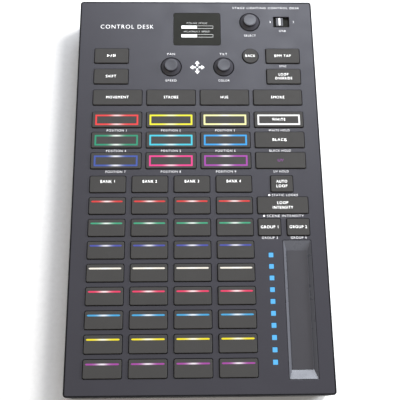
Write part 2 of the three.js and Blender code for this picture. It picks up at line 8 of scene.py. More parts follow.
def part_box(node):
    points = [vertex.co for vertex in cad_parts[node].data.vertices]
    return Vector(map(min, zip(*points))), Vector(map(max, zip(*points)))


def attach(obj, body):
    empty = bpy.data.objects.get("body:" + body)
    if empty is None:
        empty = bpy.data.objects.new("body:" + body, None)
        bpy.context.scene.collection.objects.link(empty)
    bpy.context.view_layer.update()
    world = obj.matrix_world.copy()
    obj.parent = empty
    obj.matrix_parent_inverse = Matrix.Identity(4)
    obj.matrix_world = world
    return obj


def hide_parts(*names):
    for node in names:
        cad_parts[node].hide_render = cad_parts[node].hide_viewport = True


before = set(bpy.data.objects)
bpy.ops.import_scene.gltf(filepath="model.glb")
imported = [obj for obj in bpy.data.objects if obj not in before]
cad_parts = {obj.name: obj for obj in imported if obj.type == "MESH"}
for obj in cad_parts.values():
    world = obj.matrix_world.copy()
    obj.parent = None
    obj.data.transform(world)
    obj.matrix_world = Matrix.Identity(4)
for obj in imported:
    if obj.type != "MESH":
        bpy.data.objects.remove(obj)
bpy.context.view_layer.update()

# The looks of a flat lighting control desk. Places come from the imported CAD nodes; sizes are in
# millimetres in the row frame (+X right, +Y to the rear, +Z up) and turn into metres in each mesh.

MM = 0.001


def box_mm(node):
    low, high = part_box(node)
    return low / MM, high / MM


def middle(node):
    low, high = box_mm(node)
    return (low.x + high.x) / 2, (low.y + high.y) / 2


# ---- Driving dimensions, as in the CAD source ---------------------------------------------------

CASE_LOW, CASE_HIGH = box_mm("bottom_case")
PANEL_LOW, PANEL_HIGH = box_mm("top_panel")
WIDTH = CASE_HIGH.x - CASE_LOW.x
LENGTH = CASE_HIGH.y - CASE_LOW.y
REAR = CASE_HIGH.y
CASE_BOTTOM = CASE_LOW.z
PANEL_TOP = PANEL_HIGH.z
PANEL_UNDERSIDE = PANEL_LOW.z
RIM = 0.9
WALL = 2.4
CASE_FLOOR = 2.2
CASE_CORNER = 2.5

KEY_GAP = 0.4
KEY_FLANGE = 0.8
KEY_CORNER = 1.3
KEY_EDGE = 0.45
FLANGE_TOP = PANEL_UNDERSIDE - 0.1
FLANGE_BOTTOM = FLANGE_TOP - 1.2
POST_SIDE = 6
POST_BOTTOM = box_mm("play_button")[0].z
KEY_TOP = box_mm("play_button")[1].z

KEY_TAPER = 0.08
CAP_CORNER = KEY_CORNER - KEY_GAP + 0.3

INK = 0.06
LETTER_SPACING = 1.2
LEGEND_BOLD = -0.014
PADS_PER_ROW = 4
PAD_SPACE = 4.2
SMALLEST_CORNER = 0.02
SHARP_ANGLE = 35


# ---- Meshes -------------------------------------------------------------------------------------

def rectangle(x, y, width, depth, corner, steps=5, along=1):
    """An outline that can be grown: a function of how far it is grown, giving its points.
    along is the number of stretches that the front and rear edges are cut into."""
    def points(grow=0.0):
        radius = max(corner + grow, SMALLEST_CORNER)
        half_x = width / 2 + grow - radius
        half_y = depth / 2 + grow - radius
        found = []
        for quarter, (sx, sy) in enumerate([(1, 1), (-1, 1), (-1, -1), (1, -1)]):
            for step in range(steps + 1):
                angle = math.pi / 2 * (quarter + step / steps)
                found.append((x + sx * half_x + radius * math.cos(angle),
                              y + sy * half_y + radius * math.sin(angle)))
            if quarter in (0, 2):
                for cut in range(1, along):
                    share = 1 - 2 * cut / along
                    found.append((x + sx * half_x * share, y + sy * (half_y + radius)))
        return found
    return points


def disc(x, y, radius, steps):
    """A round outline that can be grown."""
    def points(grow=0.0):
        turns = (2 * math.pi * k / steps for k in range(steps))
        return [(x + (radius + grow) * math.cos(a), y + (radius + grow) * math.sin(a)) for a in turns]
    return points


class Shell:
    """Points in millimetres and faces of one or more closed surfaces, with a glow value per point."""

    def __init__(self):
        self.points = []
        self.faces = []
        self.glow = []

    def ring(self, flat, z, glow=None):
        first = len(self.points)
        self.points += [(px, py, z) for px, py in flat]
        self.glow += [glow(px, py) if glow else 0.0 for px, py in flat]
        return list(range(first, len(self.points)))

    def bridge(self, lower, upper):
        for k in range(len(lower)):
            n = (k + 1) % len(lower)
            self.faces.append((lower[k], lower[n], upper[n], upper[k]))

    def skin(self, rings):
        """Faces between each ring and the next."""
        for lower, upper in zip(rings, rings[1:]):
            self.bridge(lower, upper)

    def close(self, rings, rising=True):
        """A skin with a face over each end; rising tells which way round the rings run."""
        self.skin(rings)
        ends = (rings[0][::-1], rings[-1]) if rising else (rings[0], rings[-1][::-1])
        self.faces += [tuple(end) for end in ends]

    def loft(self, outline, levels, glow=None):
        """Rings of a growing outline at rising heights; levels holds (grow, z)."""
        self.close([self.ring(outline(grow), z, glow) for grow, z in levels])

    def plate(self, outer, holes, bottom, top, edge):
        """A flat plate with holes, its upper edges rounded."""
        arcs = [(edge * (1 - math.sin(a)), top - edge * (1 - math.cos(a)))
                for a in (0.0, math.pi / 4, math.pi / 2)]
        upper, lower = [], []
        for side, outline in [(-1, outer)] + [(1, hole) for hole in holes]:
            rings = [self.ring(outline(0.0), bottom)]
            rings += [self.ring(outline(side * inset), z) for inset, z in reversed(arcs)]
            self.skin(rings)
            lower.append(rings[0])
            upper.append(rings[-1])
        for rings in (lower, upper):
            flat = [[Vector(self.points[i]) for i in ring] for ring in rings]
            order = [i for ring in rings for i in ring]
            for a, b, c in geometry.tessellate_polygon(flat):
                self.faces.append((order[a], order[b], order[c]))

    def add_mesh(self, points, faces):
        first = len(self.points)
        self.points += points
        self.glow += [0.0] * len(points)
        self.faces += [tuple(first + i for i in face) for face in faces]


def round_over(outset, top, edge, steps=3):
    """Levels that end a loft in a rounded upper edge."""
    return [(outset - edge * (1 - math.cos(math.pi / 2 * k / steps)),
             top - edge * (1 - math.sin(math.pi / 2 * k / steps))) for k in range(steps + 1)]


def round_under(bottom, edge, steps):
    """Levels that start a loft with a rounded lower edge."""
    angles = (math.pi / 2 * k / steps for k in range(steps + 1))
    return [(-edge * (1 - math.sin(a)), bottom + edge * (1 - math.cos(a))) for a in angles]


def new_mesh(name, shell):
    mesh = bpy.data.meshes.new(name)
    mesh.from_pydata([[c * MM for c in p] for p in shell.points], [], shell.faces)
    return mesh


def new_object(name, data):
    made = bpy.data.objects.new(name, data)
    bpy.context.scene.collection.objects.link(made)
    return made


def even_shading(made):
    """Large faces keep their own normal where they meet a rounded edge."""
    modifier = made.modifiers.new("even_shading", "WEIGHTED_NORMAL")
    modifier.keep_sharp = True


def piece(name, shell, material, body="desk", replaces=(), smooth=SHARP_ANGLE):
    """A finished piece from a shell; smooth is the angle, in degrees, where its edges turn sharp."""
    mesh = new_mesh(name, shell)
    if any(shell.glow):
        values = mesh.attributes.new("glow", "FLOAT", "POINT")
        values.data.foreach_set("value", shell.glow)
    work = bmesh.new()
    work.from_mesh(mesh)
    bmesh.ops.remove_doubles(work, verts=work.verts, dist=1e-7)
    bmesh.ops.recalc_face_normals(work, faces=work.faces)
    work.to_mesh(mesh)
    work.free()
    mesh.polygons.foreach_set("use_smooth", [True] * len(mesh.polygons))
    mesh.set_sharp_from_angle(angle=math.radians(smooth))
    mesh.materials.append(material)
    made = new_object(name, mesh)
    even_shading(made)
    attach(made, body)
    if replaces:
        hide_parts(*replaces)
    return made


def cut_away(target, cutters):
    """Takes the cutters' shells out of a finished piece's mesh."""
    tools = []
    for number, shell in enumerate(cutters):
        mesh = new_mesh(f"cutter_{number}", shell)
        tool = new_object(f"cutter_{number}", mesh)
        work = bmesh.new()
        work.from_mesh(mesh)
        bmesh.ops.recalc_face_normals(work, faces=work.faces)
        work.to_mesh(mesh)
        work.free()
        modifier = target.modifiers.new(f"cut_{number}", "BOOLEAN")
        modifier.operation = "DIFFERENCE"
        modifier.solver = "EXACT"
        modifier.object = tool
        tools.append(tool)
    bpy.context.view_layer.update()
    seen = target.evaluated_get(bpy.context.evaluated_depsgraph_get())
    made = bpy.data.meshes.new_from_object(seen)
    old = target.data
    target.modifiers.clear()
    target.data = made
    made.name = old.name + "_cut"
    made.set_sharp_from_angle(angle=math.radians(SHARP_ANGLE))
    even_shading(target)
    for tool in tools:
        bpy.data.objects.remove(tool)


def lathe_y(shell, x, z, levels, steps):
    """Adds a closed surface turned about a line along Y; levels holds (radius, y)."""
    rings = []
    for radius, y in levels:
        first = len(shell.points)
        for k in range(steps):
            angle = 2 * math.pi * k / steps
            shell.points.append((x + radius * math.cos(angle), y, z + radius * math.sin(angle)))
            shell.glow.append(0.0)
        rings.append(list(range(first, first + steps)))
    shell.close(rings, rising=False)


def turned_cylinder(x, z, radius, front, back, steps):
    """A shell of a cylinder lying along Y."""
    shell = Shell()
    lathe_y(shell, x, z, [(radius, front), (radius, back)], steps)
    return shell


def block(x0, x1, y0, y1, z0, z1):
    """A shell of a box, for cutting with."""
    shell = Shell()
    outline = rectangle((x0 + x1) / 2, (y0 + y1) / 2, x1 - x0, y1 - y0, SMALLEST_CORNER, 2)
    shell.loft(outline, [(0, z0), (0, z1)])
    return shell


def box_faces(x0, x1, y0, y1, z0, z1):
    """The points and faces of a box with sharp edges."""
    points = [(x, y, z) for x in (x0, x1) for y in (y0, y1) for z in (z0, z1)]
    faces = [(0, 1, 3, 2), (4, 6, 7, 5), (0, 4, 5, 1), (2, 3, 7, 6), (0, 2, 6, 4), (1, 5, 7, 3)]
    return points, faces


# ---- Lettering ----------------------------------------------------------------------------------

def lettering(shell, words, x, y, z, height, width, bold):
    """Adds flat printed words, fitted to a height and a width; bold thickens or thins the strokes."""
    curve = bpy.data.curves.new("words", "FONT")
    curve.body = words
    curve.align_x = "CENTER"
    curve.align_y = "CENTER"
    curve.size = 1
    curve.space_character = LETTER_SPACING
    curve.offset = bold
    curve.extrude = 0.01
    curve.resolution_u = 3
    made = new_object("words", curve)
    bpy.context.view_layer.update()
    mesh = bpy.data.meshes.new_from_object(made.evaluated_get(bpy.context.evaluated_depsgraph_get()))
    bpy.data.objects.remove(made)
    xs = [v.co.x for v in mesh.vertices]
    ys = [v.co.y for v in mesh.vertices]
    tall = height / (max(ys) - min(ys))
    wide = width / (max(xs) - min(xs))
    mid_x, mid_y = (max(xs) + min(xs)) / 2, (max(ys) + min(ys)) / 2
    points = []
    for v in mesh.vertices:
        px, py = (v.co.x - mid_x) * wide, (v.co.y - mid_y) * tall
        points.append((x + px, y + py, z + (v.co.z > 0) * INK))
    shell.add_mesh(points, [tuple(p.vertices) for p in mesh.polygons])
    bpy.data.meshes.remove(mesh)


def printed(shell, corners, z):
    """Adds a flat printed shape with the given corners."""
    shell.close([shell.ring(corners, z), shell.ring(corners, z + INK)])


# ---- Materials ----------------------------------------------------------------------------------

def linear(rgb):
    """Linear colour from an sRGB one in 0 to 255."""
    def channel(value):
        share = value / 255
        return share / 12.92 if share <= 0.04045 else ((share + 0.055) / 1.055) ** 2.4
    return tuple(channel(v) for v in rgb)


class Nodes:
    """A new material and short ways to add and link its nodes."""

    def __init__(self, name):
        self.material = bpy.data.materials.new(name)
        self.material.use_nodes = True
        self.tree = self.material.node_tree
        self.shader = self.tree.nodes["Principled BSDF"]
        self.place = self.add("ShaderNodeTexCoord").outputs["Object"]

    def add(self, kind, **settings):
        node = self.tree.nodes.new(kind)
        for key, value in settings.items():
            setattr(node, key, value)
        return node

    def link(self, output, target):
        self.tree.links.new(output, target)

    def noise(self, size_mm, detail=3.0, roughness=0.5, stretch=None):
        node = self.add("ShaderNodeTexNoise")
        node.inputs["Scale"].default_value = 1 / (size_mm * MM)
        node.inputs["Detail"].default_value = detail
        node.inputs["Roughness"].default_value = roughness
        place = self.place
        if stretch:
            mapping = self.add("ShaderNodeMapping")
            mapping.inputs["Scale"].default_value = stretch
            self.link(place, mapping.inputs["Vector"])
            place = mapping.outputs["Vector"]
        self.link(place, node.inputs["Vector"])
        return node.outputs["Fac"]

    def ranged(self, value, low, high, from_low=0.3, from_high=0.7):
        node = self.add("ShaderNodeMapRange")
        node.inputs["From Min"].default_value = from_low
        node.inputs["From Max"].default_value = from_high
        node.inputs["To Min"].default_value = low
        node.inputs["To Max"].default_value = high
        self.link(value, node.inputs["Value"])
        return node.outputs["Result"]

    def mixed(self, share, first, second):
        node = self.add("ShaderNodeMix", data_type="RGBA")
        for socket, value in ((node.inputs["A"], first), (node.inputs["B"], second)):
            if isinstance(value, tuple):
                socket.default_value = (*value, 1)
            else:
                self.link(value, socket)
        self.link(share, node.inputs["Factor"])
        return node.outputs["Result"]

    def bump(self, height, strength, depth_mm):
        node = self.add("ShaderNodeBump")
        node.inputs["Strength"].default_value = strength
        node.inputs["Distance"].default_value = depth_mm * MM
        self.link(height, node.inputs["Height"])
        return node.outputs["Normal"]


def shade(rgb, factor):
    return tuple(min(1.0, c * factor) for c in linear(rgb))


def surface(name, rgb, roughness, metallic=0.0, mottle=0.08, mottle_mm=25, grain_mm=0.5,
            grain=0.25, spread=0.07, specular=0.5, scuffs=0.0, stretch=None):
    """A moulded, painted or plated surface: slow colour drift, fine grain, uneven gloss, faint scuffs."""
    nodes = Nodes(name)
    shader = nodes.shader
    shader.inputs["Metallic"].default_value = metallic
    shader.inputs["Specular IOR Level"].default_value = specular
    slow = nodes.ranged(nodes.noise(mottle_mm, 4.0), 0.0, 1.0)
    drift = nodes.mixed(slow, shade(rgb, 1 - mottle), shade(rgb, 1 + mottle))
    fine = nodes.noise(grain_mm, 2.0, 0.6, stretch)
    flecks = nodes.mixed(nodes.ranged(fine, 0.0, 1.0), shade(rgb, 0.93), shade(rgb, 1.07))
    both = nodes.add("ShaderNodeMix", data_type="RGBA")
    both.inputs["Factor"].default_value = 0.5
    nodes.link(drift, both.inputs["A"])
    nodes.link(flecks, both.inputs["B"])
    colour = both.outputs["Result"]
    gloss = nodes.ranged(nodes.noise(mottle_mm * 0.3, 5.0), roughness - spread, roughness + spread)
    if scuffs:
        rubbed = nodes.ranged(nodes.noise(14, 6.0, 0.7, (1, 5, 1)), 0.0, scuffs, 0.62, 0.8)
        colour = nodes.mixed(rubbed, colour, shade(rgb, 1.8))
    nodes.link(colour, shader.inputs["Base Color"])
    nodes.link(gloss, shader.inputs["Roughness"])
    nodes.link(nodes.bump(fine, grain, 0.04), shader.inputs["Normal"])
    return nodes.material


def lit(name, rgb, strength, hot=1.0):
    """A light guide that is whiter and brighter where its glow value is high."""
    nodes = Nodes(name)
    shader = nodes.shader
    glow = nodes.add("ShaderNodeAttribute", attribute_name="glow").outputs["Fac"]
    uneven = nodes.ranged(nodes.noise(1.2, 2.0), 0.92, 1.0)
    level = nodes.add("ShaderNodeMath", operation="MULTIPLY")
    nodes.link(glow, level.inputs[0])
    nodes.link(uneven, level.inputs[1])
    white = tuple(c + (1 - c) * hot for c in linear(rgb))
    nodes.link(nodes.mixed(level.outputs[0], linear(rgb), white), shader.inputs["Emission Color"])
    shader.inputs["Emission Strength"].default_value = strength
    shader.inputs["Base Color"].default_value = (*shade(rgb, 0.08), 1)
    shader.inputs["Roughness"].default_value = 0.35
    return nodes.material


def ink(name, rgb, strength=0.0):
    """Screen-printed ink, a little uneven, that glows where strength is over 0; on the panel print this glow
    is painted light.
    """
    nodes = Nodes(name)
    cover = nodes.ranged(nodes.noise(0.8, 3.0), 0.0, 1.0)
    colour = nodes.mixed(cover, shade(rgb, 0.9), shade(rgb, 1.0))
    nodes.link(colour, nodes.shader.inputs["Base Color"])
    nodes.shader.inputs["Roughness"].default_value = 0.55
    if strength:
        nodes.link(colour, nodes.shader.inputs["Emission Color"])
        nodes.shader.inputs["Emission Strength"].default_value = strength
    return nodes.material


PANEL = surface("panel_paint", (54, 53, 59), 0.42, mottle=0.07, mottle_mm=60, grain_mm=0.45,
                grain=0.35, spread=0.05, scuffs=0.3)
CASE = surface("case_plastic", (15, 15, 18), 0.55, specular=0.3, mottle=0.1, grain_mm=0.4, grain=0.5,
               scuffs=0.25)
KEY = surface("key_rubber", (64, 63, 62), 0.62, mottle=0.06, mottle_mm=18, grain_mm=0.35, grain=0.3,
              specular=0.2, scuffs=0.3)
KNOB = surface("knob_plastic", (50, 49, 55), 0.42, mottle=0.06, grain_mm=0.4, grain=0.25, specular=0.75,
               scuffs=0.3)
GLASS = surface("display_glass", (32, 32, 27), 0.45, mottle=0.05, grain_mm=3, grain=0.02, spread=0.04,
                specular=0.15)
STRIP = surface("strip_plastic", (89, 90, 96), 0.3, mottle=0.06, grain_mm=0.4, grain=0.15, spread=0.05,
                specular=0.7)
FILM = surface("touch_film", (62, 61, 65), 0.4, mottle=0.06, mottle_mm=15, grain_mm=0.5, grain=0.15)
STEEL = surface("plated_steel", (178, 180, 184), 0.3, metallic=1.0, mottle=0.06, grain_mm=0.25,
                grain=0.15, stretch=(1, 1, 12), scuffs=0.2)
BOARD = surface("board_lacquer", (24, 78, 48), 0.35, mottle=0.15, mottle_mm=9, grain_mm=1.2, grain=0.5)
SILICONE = surface("silicone", (160, 162, 164), 0.6, mottle=0.08, grain_mm=0.8, grain=0.2)
NYLON = surface("nylon", (186, 186, 180), 0.5, mottle=0.05, grain_mm=0.6, grain=0.2)
RUBBER = surface("foot_rubber", (20, 20, 20), 0.8, mottle=0.12, grain_mm=0.6, grain=0.7)
INSERT = surface("socket_insert", (16, 16, 17), 0.45, mottle=0.08, grain_mm=0.4, grain=0.3)
SLIDER = surface("slider_plastic", (84, 84, 88), 0.45, mottle=0.08, grain_mm=0.4, grain=0.3)
SLIDER_COVER = surface("slider_cover", (34, 34, 31), 0.6, mottle=0.08, grain_mm=0.4, grain=0.3,
                       specular=0.2)
SCREW = surface("screw_black", (34, 34, 36), 0.35, metallic=0.7, grain_mm=0.2, grain=0.3, scuffs=0.3)
# The panel print's emission is painted light: the ink on the metal panel has no lamp behind it, so its glow
# paints brighter light onto the labels and the slider line.
PANEL_PRINT_PAINTED_GLOW = ink("panel_print_painted_glow", (250, 250, 252), 0.45)
KEY_PRINT = ink("key_print", (252, 252, 252), 1.6)
UV_PRINT = ink("uv_print", (150, 72, 160), 0.25)
SCREEN = ink("screen_white", (250, 252, 252), 1.0)


# ---- Case ---------------------------------------------------------------------------------------

DMX_NOSE = 12
DMX_Z = (box_mm("dmx_socket_1")[0].z + box_mm("dmx_socket_1")[1].z) / 2
BOARD_UNDERSIDE = box_mm("usb_socket_1")[1].z + 0.1
POWER_X = 172 - WIDTH / 2
POWER_Z = BOARD_UNDERSIDE - 5.5
CUT_FRONT = REAR - WALL - 1
CUT_BACK = REAR + 1
SOCKET_GAP = 0.3
SCREW_SEAT = 1.6
screw_places = [(x, y) for x in (-80, 80) for y in (-146, -50, 50, 116)]


def case():
    floor_top = CASE_BOTTOM + CASE_FLOOR
    ledge = PANEL_UNDERSIDE - 0.1
    shell = Shell()
    outline = rectangle(0, 0, WIDTH, LENGTH, CASE_CORNER, 8)
    levels = round_under(CASE_BOTTOM, 1.4, 4)
    levels += round_over(0, PANEL_TOP, 0.3)
    levels += [(0.25 - RIM, PANEL_TOP), (0.07 - RIM, PANEL_TOP - 0.07), (-RIM, PANEL_TOP - 0.25)]
    levels += [(-RIM, ledge), (-WALL, ledge), (-WALL, floor_top)]
    shell.loft(outline, levels)
    made = piece("case_shell", shell, CASE, replaces=["bottom_case"])

    cutters = []
    for node in ("dmx_socket_1", "dmx_socket_2"):
        low, high = box_mm(node)
        x, z = (low.x + high.x) / 2, (low.z + high.z) / 2
        cutters.append(turned_cylinder(x, z, DMX_NOSE + SOCKET_GAP, CUT_FRONT, CUT_BACK, 48))
    for node in ("usb_socket_1", "usb_socket_2"):
        low, high = box_mm(node)
        cutters.append(block(low.x - SOCKET_GAP, high.x + SOCKET_GAP, CUT_FRONT, CUT_BACK,
                             low.z - SOCKET_GAP, high.z + SOCKET_GAP))
    half_power = 4.8
    half_power_rise = 5.8
    cutters.append(block(POWER_X - half_power, POWER_X + half_power, CUT_FRONT, CUT_BACK,
                         POWER_Z - half_power_rise, POWER_Z + half_power_rise))
    half_lock = 3.5
    half_lock_rise = 1.5
    cutters.append(block(-half_lock, half_lock, CUT_FRONT, CUT_BACK,
                         DMX_Z - half_lock_rise, DMX_Z + half_lock_rise))
    for x, y in screw_places:
        shell = Shell()
        shell.loft(disc(x, y, 3, 24), [(0, CASE_BOTTOM - 1), (0, CASE_BOTTOM + SCREW_SEAT)])
        cutters.append(shell)
    cut_away(made, cutters)


case()


def case_screw(name, x, y):
    """A pan-head screw with a cross recess, facing down in its seat."""
    radius = 2.6
    slot_length = radius * 1.2
    slot_width = 0.5
    shell = Shell()
    shell.loft(disc(0, 0, radius, 24), [(0, 0)] + round_over(0, 1.1, 0.5, 4))
    made = piece(name, shell, SCREW)
    slots = []
    for wide, deep in ((slot_length, slot_width), (slot_width, slot_length)):
        slots.append(block(-wide / 2, wide / 2, -deep / 2, deep / 2, 0.5, 2))
    cut_away(made, slots)
    seat = Matrix.Translation((x * MM, y * MM, (CASE_BOTTOM + SCREW_SEAT) * MM))
    made.data.transform(seat @ Matrix.Rotation(math.pi, 4, "X"))


for number, (x, y) in enumerate(screw_places):
    case_screw(f"case_screw_{number + 1}", x, y)


def foot(node):
    low, high = box_mm(node)
    x, y = middle(node)
    shell = Shell()
    outline = rectangle(x, y, high.x - low.x, high.y - low.y, 2.5, 6)
    shell.loft(outline, round_under(low.z, 0.5, 3) + [(0, high.z)])
    piece(node + "_pad", shell, RUBBER, replaces=[node])


foot("front_foot_strip")
foot("rear_foot_strip")


# ---- Keys and pads ------------------------------------------------------------------------------

ROUND_KEY = "back_button"
button_nodes = [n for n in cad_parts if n.endswith("_button")]
pad_nodes = sorted(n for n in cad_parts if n.startswith("pad_row_"))


def cap_size(node):
    """Middle, width and depth of a key's cap."""
    low, high = box_mm(node)
    less = 2 * (KEY_FLANGE + KEY_GAP)
    return (*middle(node), high.x - low.x - less, high.y - low.y - less)


def pad_places(node):
    """Middle, width and depth of each pad's cap in a row."""
    x, y, width, depth = cap_size(node)
    span = width + 2 * KEY_GAP
    pad = (span - (PADS_PER_ROW - 1) * PAD_SPACE) / PADS_PER_ROW
    left = x - span / 2 + pad / 2
    return [(left + k * (pad + PAD_SPACE), y, pad - 2 * KEY_GAP, depth) for k in range(PADS_PER_ROW)]


def add_cap(shell, outline):
    levels = [(0.0, FLANGE_TOP), (0.0, PANEL_TOP - 0.4), (-KEY_TAPER, KEY_TOP - KEY_EDGE)]
    levels += round_over(-KEY_TAPER, KEY_TOP, KEY_EDGE, 4)[1:]
    shell.loft(outline, levels)


def add_post(shell, x, y):
    shell.loft(rectangle(x, y, POST_SIDE, POST_SIDE, 0.5, 2), [(-0.2, POST_BOTTOM), (0, FLANGE_BOTTOM)])


def key(node):
    x, y, width, depth = cap_size(node)
    shell = Shell()
    if node == ROUND_KEY:
        outline = disc(x, y, width / 2, 64)
    else:
        outline = rectangle(x, y, width, depth, CAP_CORNER, 6)
    grown = KEY_GAP + KEY_FLANGE
    shell.loft(outline, [(grown, FLANGE_BOTTOM), (grown, FLANGE_TOP)])
    add_cap(shell, outline)
    add_post(shell, x, y)
    piece(node.replace("_button", "_key"), shell, KEY, node, [node])


def pad_strip(node):
    x, y, width, depth = cap_size(node)
    shell = Shell()
    grown = KEY_GAP + KEY_FLANGE
    shell.loft(rectangle(x, y, width, depth, 0.9, 3), [(grown, FLANGE_BOTTOM), (grown, FLANGE_TOP)])
    for px, py, pad_width, pad_depth in pad_places(node):
        add_cap(shell, rectangle(px, py, pad_width, pad_depth, CAP_CORNER, 6))
        add_post(shell, px, py)
    piece(node.replace("pad_row", "pads"), shell, KEY, node, [node])


for node in button_nodes:
    key(node)
for node in pad_nodes:
    pad_strip(node)


# ---- Top panel ----------------------------------------------------------------------------------

KNOBS = ("select_knob", "pan_knob", "tilt_knob")
STRIP_LOW, STRIP_HIGH = box_mm("touch_strip_tray")
STRIP_FLANGE = 1.2
STRIP_WIDTH = STRIP_HIGH.x - STRIP_LOW.x - 2 * STRIP_FLANGE
STRIP_LENGTH = STRIP_HIGH.y - STRIP_LOW.y - 2 * STRIP_FLANGE
KNOB_HOLE = 8.6
SLIDER_TRAVEL = 3
SWITCH_X = middle("usb_slider")[0] + SLIDER_TRAVEL / 2
SWITCH_Y = middle("usb_slider")[1]
SWITCH_WIDTH = 13.4
SWITCH_DEPTH = 9.8
METER_COUNT = 10
METER_SIDE = 3.4
METER_LOW, METER_HIGH = box_mm("meter_light_guide")
METER_X = middle("meter_light_guide")[0]
METER_MARGIN = 4
METER_SPAN = METER_HIGH.y - METER_LOW.y - 2 * METER_MARGIN
METER_TOP_Y = METER_HIGH.y - METER_MARGIN
METER_Y = [METER_TOP_Y - METER_SPAN * k / (METER_COUNT - 1) for k in range(METER_COUNT)]


def openings():
    """The outlines of the holes in the top panel."""
    found = []
    for node in button_nodes:
        x, y, width, depth = cap_size(node)
        if node == ROUND_KEY:
            found.append(disc(x, y, width / 2 + KEY_GAP, 64))
        else:
            found.append(rectangle(x, y, width + 2 * KEY_GAP, depth + 2 * KEY_GAP, KEY_CORNER, 6))
    for node in pad_nodes:
        for x, y, width, depth in pad_places(node):
            found.append(rectangle(x, y, width + 2 * KEY_GAP, depth + 2 * KEY_GAP, KEY_CORNER, 6))
    low, high = box_mm("display_window")
    found.append(rectangle(*middle("display_window"), high.x - low.x + 0.2, high.y - low.y + 0.2, 2, 8))
    found.append(rectangle(*middle("touch_strip_tray"), STRIP_WIDTH, STRIP_LENGTH, 0.9, 4))
    found.append(rectangle(SWITCH_X, SWITCH_Y, SWITCH_WIDTH, SWITCH_DEPTH, 0.6, 4))
    for node in KNOBS:
        found.append(disc(*middle(node), KNOB_HOLE, 64))
    for y in METER_Y:
        found.append(rectangle(METER_X, y, METER_SIDE + 0.2, METER_SIDE + 0.2, 0.3, 3))
    return found


panel_shell = Shell()
panel_outline = rectangle(0, 0, PANEL_HIGH.x - PANEL_LOW.x, PANEL_HIGH.y - PANEL_LOW.y, 1.45, 6)
panel_shell.plate(panel_outline, openings(), PANEL_UNDERSIDE, PANEL_TOP, 0.25)
piece("panel_plate", panel_shell, PANEL, replaces=["top_panel"], smooth=16)


# ---- Lights on keys and pads --------------------------------------------------------------------

LIGHT_RISE = 0.05
LIGHT_SUNK = 0.3
FRAME_INSET_X = 2.5
FRAME_INSET_Y = 2.15
FRAME_LINE = 1.35
FRAME_FORWARD = 0.3
BAR_LINE = 1.25
FRAME_CORNER = 0.35
FRAME_GLOW = 0.12
BAR_SETBACK = 3.3
BAR_SHORTER = 3.5
BAR_GLOW = 0.15
PAD_COLOURS = [
    ("red", (226, 60, 58)), ("green", (66, 166, 126)), ("indigo", (76, 84, 172)),
    ("white", (246, 240, 228)), ("rose", (236, 62, 104)), ("sky", (72, 166, 218)),
    ("yellow", (244, 226, 38)), ("violet", (164, 74, 160)),
]
FRAME_COLOURS = {
    "position_1": ((238, 62, 62), 0.75), "position_2": ((250, 240, 30), 0.6),
    "position_3": ((255, 252, 176), 0.8), "position_4": ((44, 152, 116), 0.9),
    "position_5": ((70, 205, 228), 0.7), "position_6": ((46, 164, 236), 0.8),
    "position_7": ((68, 90, 172), 0.9), "position_8": ((240, 62, 144), 0.65),
    "position_9": ((168, 66, 172), 0.85), "white": ((255, 255, 255), 0.0),
}
light_materials = {}


def light_material(name, rgb, strength=1.0, hot=1.0):
    if name not in light_materials:
        light_materials[name] = lit("light_" + name, rgb, strength, hot)
    return light_materials[name]


def light_frame(shell, x, y, width, depth):
    """A lit frame, cut crosswise along its long sides so that its glow can fade along them."""
    def glow(px, py):
        return math.exp(-((px - x) / (width * FRAME_GLOW)) ** 2)
    outline = rectangle(x, y, width, depth, FRAME_CORNER, 3, 24)
    outer, inner = outline(0), outline(-FRAME_LINE)
    bottom, top = KEY_TOP - LIGHT_SUNK, KEY_TOP + LIGHT_RISE
    rings = [shell.ring(flat, z, glow) for flat, z in
             ((outer, bottom), (outer, top), (inner, top), (inner, bottom))]
    shell.skin(rings + rings[:1])


def light_bar(shell, x, y, length, thickness):
    """A slim bar with narrower ends, cut crosswise so that its glow can fade along it."""
    steps = 32
    end_share = 0.45
    edge_dimming = 0.35
    rings = []
    for k in range(steps + 1):
        along = -length / 2 + length * k / steps
        half = thickness / 2
        if k in (0, steps):
            half *= end_share
        value = math.exp(-(along / (length * BAR_GLOW)) ** 2)
        first = len(shell.points)
        for side, z in ((-half, KEY_TOP - LIGHT_SUNK), (-half, KEY_TOP + LIGHT_RISE),
                        (0, KEY_TOP + LIGHT_RISE + 0.02), (half, KEY_TOP + LIGHT_RISE),
                        (half, KEY_TOP - LIGHT_SUNK)):
            shell.points.append((x + along, y + side, z))
            shell.glow.append(value * (1 - edge_dimming) if side else value)
        rings.append(list(range(first, first + 5)))
    shell.close(rings, rising=False)


for name, (rgb, hot) in FRAME_COLOURS.items():
    node = name + "_button"
    x, y, width, depth = cap_size(node)
    shell = Shell()
    light_frame(shell, x, y - FRAME_FORWARD, width - 2 * FRAME_INSET_X, depth - 2 * FRAME_INSET_Y)
    piece(name + "_light", shell, light_material(name, rgb, hot=hot), node)

for node, (colour, rgb) in zip(pad_nodes, PAD_COLOURS):
    shell = Shell()
    for x, y, width, depth in pad_places(node):
        light_bar(shell, x, y + depth / 2 - BAR_SETBACK, width - BAR_SHORTER, BAR_LINE)
    piece(node.replace("pad_row", "pad_lights"), shell, light_material("pad_" + colour, rgb), node)


# ---- Legends ------------------------------------------------------------------------------------

